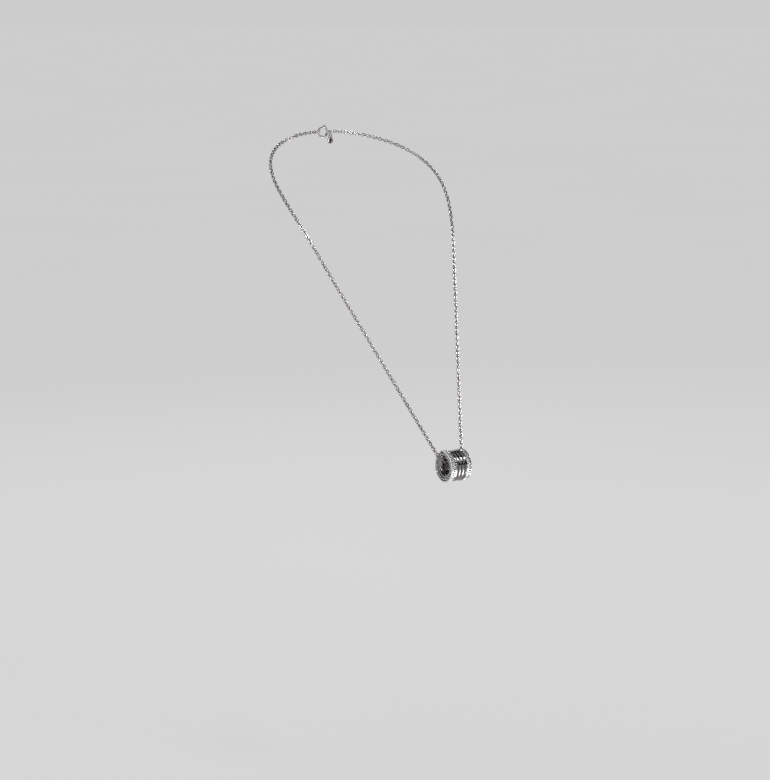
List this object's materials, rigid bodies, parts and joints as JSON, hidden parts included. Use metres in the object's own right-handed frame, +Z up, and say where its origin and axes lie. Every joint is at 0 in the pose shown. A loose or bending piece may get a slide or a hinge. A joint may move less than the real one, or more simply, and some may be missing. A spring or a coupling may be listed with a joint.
{
  "type": "pendant necklace",
  "caption": "Fine cable chain necklace with a ring-shaped pendant, spiral waist and stone-set rims, and a spring ring clasp.",
  "frame": {"origin": "middle of the nape, where the back of the neck carries the chain", "axes": "+Z up, the wearer faces -Y, +X is the wearer's left, the pendant's axis lies along X"},
  "size_m": [0.0918, 0.123, 0.1552],
  "materials": {
    "chain_silver": "polished silver-coloured wire",
    "pendant_silver": "mirror-polished white precious metal",
    "dark_recess": "satin metal, darker because it is recessed",
    "clear_stone": "clear, colourless and brilliant-cut",
    "clasp_silver": "polished silver-coloured metal",
    "spring_steel": "drawn steel wire",
    "tag_silver": "polished sheet with softly rolled edges"
  },
  "bodies": {
    "neck_chain": {"chain_side_left": "chain_silver", "chain_side_right": "chain_silver", "chain_nape_left": "chain_silver", "chain_nape_right": "chain_silver", "end_ring": "clasp_silver", "joint_ring": "clasp_silver"},
    "upper_bands": {"strand_1_left": "chain_silver", "strand_1_right": "chain_silver"},
    "middle_bands": {"strand_2_left": "chain_silver", "strand_2_right": "chain_silver"},
    "lower_bands": {"strand_3_left": "chain_silver", "strand_3_right": "chain_silver"},
    "foot_bands": {"strand_4_left": "chain_silver", "strand_4_right": "chain_silver", "chain_run": "chain_silver"},
    "pendant": {"pendant_core": "pendant_silver", "pendant_barrel": "dark_recess", "pendant_spiral": "pendant_silver", "pendant_rim_left": "pendant_silver", "pendant_rim_right": "pendant_silver", "rim_stones_left": "clear_stone", "rim_stones_right": "clear_stone", "face_pattern_left": "pendant_silver", "face_pattern_right": "pendant_silver"},
    "clasp": {"clasp_ring": "clasp_silver", "clasp_spring": "spring_steel"},
    "bolt": {"clasp_bolt": "clasp_silver", "clasp_lever": "clasp_silver"},
    "tag_hanger": {"tag_ring": "clasp_silver"},
    "tag": {"tag_plate": "tag_silver"}
  },
  "joints": [
    {"name": "drape_1", "type": "hinge", "parent": "neck_chain", "child": "upper_bands", "pos_m": [0, -0.05855, -0.05436], "axis": [-1, 0, 0], "range_deg": [0, 35]},
    {"name": "drape_2", "type": "hinge", "parent": "upper_bands", "child": "middle_bands", "pos_m": [0, -0.07157, -0.0759], "axis": [-1, 0, 0], "range_deg": [0, 35]},
    {"name": "drape_3", "type": "hinge", "parent": "middle_bands", "child": "lower_bands", "pos_m": [0, -0.08469, -0.09737], "axis": [-1, 0, 0], "range_deg": [0, 35]},
    {"name": "drape_4", "type": "hinge", "parent": "lower_bands", "child": "foot_bands", "pos_m": [0, -0.09781, -0.11883], "axis": [-1, 0, 0], "range_deg": [0, 35]},
    {"name": "pendant_spin", "type": "hinge", "parent": "foot_bands", "child": "pendant", "pos_m": [0, -0.1135, -0.1445], "axis": [1, 0, 0], "continuous": true},
    {"name": "clasp_roll", "type": "hinge", "parent": "neck_chain", "child": "clasp", "pos_m": [-0.00095, -0.0002, -0.00014], "axis": [1, 0, 0], "range_deg": [-20, 20]},
    {"name": "bolt_slide", "type": "hinge", "parent": "clasp", "child": "bolt", "pos_m": [-0.00095, -0.0002, -0.00014], "axis": [0, 1, 0], "range_deg": [0, 46], "stiffness_Nm_per_rad": 0.0012, "springref_deg": -11.46, "deforming": ["clasp_spring"]},
    {"name": "tag_swing", "type": "hinge", "parent": "neck_chain", "child": "tag_hanger", "pos_m": [0.004, 0.00113, -0.00014], "axis": [1, 0, 0], "range_deg": [0, 70]},
    {"name": "tag_sway", "type": "hinge", "parent": "tag_hanger", "child": "tag", "pos_m": [0.004, 0.00113, -0.00144], "axis": [0, 1, 0], "range_deg": [-30, 30]}
  ]
}
